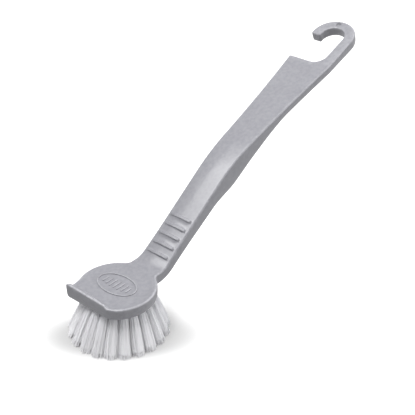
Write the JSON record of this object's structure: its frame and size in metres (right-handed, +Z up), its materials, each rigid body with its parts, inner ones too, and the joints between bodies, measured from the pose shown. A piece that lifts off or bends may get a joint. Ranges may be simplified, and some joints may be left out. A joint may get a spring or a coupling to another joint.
{
  "type": "pot brush",
  "caption": "One-piece pot brush: a round head with a scraper lip, fanned bristle tufts under it, and an angled grip ending in a hanging hook.",
  "frame": {"origin": "centre of the bristle field, in the plane of the trimmed bristle tips that the brush stands on", "axes": "+X from the head towards the hanging hook, +Y to the side of the scraper lip's pointed corner, +Z up from the bristle tips to the head"},
  "size_m": [0.2775, 0.0675, 0.1338],
  "materials": {
    "grey_plastic": "satin moulded plastic",
    "white_nylon": "soft sheen nylon bristle"
  },
  "bodies": {
    "root": {"body": "grey_plastic", "tuft_centre": "white_nylon", "tuft_outer_01": "white_nylon", "tuft_outer_02": "white_nylon", "tuft_outer_03": "white_nylon", "tuft_outer_04": "white_nylon", "tuft_outer_05": "white_nylon", "tuft_outer_06": "white_nylon", "tuft_outer_07": "white_nylon", "tuft_outer_08": "white_nylon", "tuft_outer_09": "white_nylon", "tuft_outer_10": "white_nylon", "tuft_outer_11": "white_nylon", "tuft_outer_12": "white_nylon", "tuft_outer_13": "white_nylon", "tuft_outer_14": "white_nylon", "tuft_outer_15": "white_nylon", "tuft_outer_16": "white_nylon", "tuft_outer_17": "white_nylon", "tuft_outer_18": "white_nylon", "tuft_outer_19": "white_nylon", "tuft_outer_20": "white_nylon", "tuft_outer_21": "white_nylon", "tuft_middle_01": "white_nylon", "tuft_middle_02": "white_nylon", "tuft_middle_03": "white_nylon", "tuft_middle_04": "white_nylon", "tuft_middle_05": "white_nylon", "tuft_middle_06": "white_nylon", "tuft_middle_07": "white_nylon", "tuft_middle_08": "white_nylon", "tuft_middle_09": "white_nylon", "tuft_middle_10": "white_nylon", "tuft_middle_11": "white_nylon", "tuft_middle_12": "white_nylon", "tuft_middle_13": "white_nylon", "tuft_middle_14": "white_nylon", "tuft_inner_01": "white_nylon", "tuft_inner_02": "white_nylon", "tuft_inner_03": "white_nylon", "tuft_inner_04": "white_nylon", "tuft_inner_05": "white_nylon", "tuft_inner_06": "white_nylon", "tuft_inner_07": "white_nylon"}
  },
  "joints": []
}
